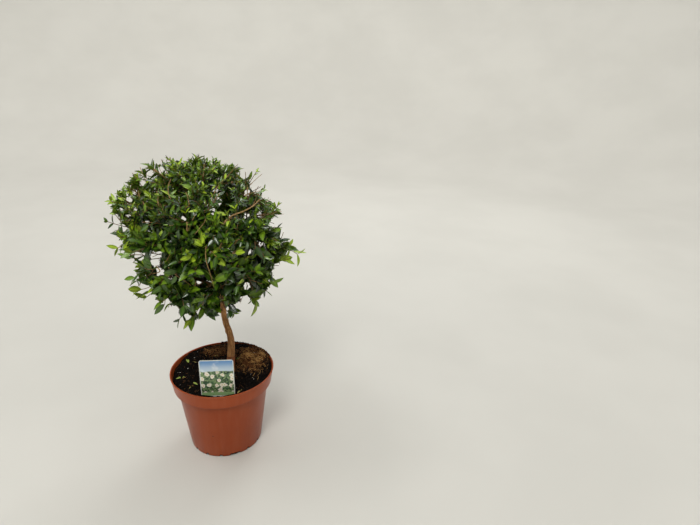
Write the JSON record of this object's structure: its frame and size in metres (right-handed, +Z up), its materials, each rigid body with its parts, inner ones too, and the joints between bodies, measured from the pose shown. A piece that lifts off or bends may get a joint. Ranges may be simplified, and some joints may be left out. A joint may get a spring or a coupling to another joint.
{
  "type": "potted myrtle standard",
  "caption": "Clipped ball of small glossy leaves on a bare crooked stem, in a round plastic nursery pot of dark peat with a picture label pushed in at the front.",
  "frame": {"origin": "centre of the pot's flat underside, which is the mount base", "axes": "+Z up the plant, -Y the way the label's picture faces, +X to the right of someone who looks at that picture"},
  "size_m": [0.2791, 0.2667, 0.497],
  "materials": {
    "plastic": "smooth terracotta-coloured plastic with a soft sheen",
    "peat": "damp dark peat",
    "card": "printed plastic label",
    "bark": "finely cracked tan-brown bark",
    "foliage": "small glossy dark green leaves"
  },
  "bodies": {
    "root": {"pot": "plastic", "soil": "peat", "label": "card", "trunk": "bark", "bough_top": "bark", "bough_upper_front": "bark", "bough_upper_right": "bark", "bough_upper_back_right": "bark", "bough_upper_back_left": "bark", "bough_upper_left": "bark", "bough_lower_front_right": "bark", "bough_lower_right_back": "bark", "bough_lower_back": "bark", "bough_lower_back_left": "bark", "bough_lower_front_left": "bark", "foliage_top": "foliage", "foliage_upper_front": "foliage", "foliage_upper_right": "foliage", "foliage_upper_back_right": "foliage", "foliage_upper_back_left": "foliage", "foliage_upper_left": "foliage", "foliage_lower_front_right": "foliage", "foliage_lower_right_back": "foliage", "foliage_lower_back": "foliage", "foliage_lower_back_left": "foliage", "foliage_lower_front_left": "foliage"}
  },
  "joints": []
}
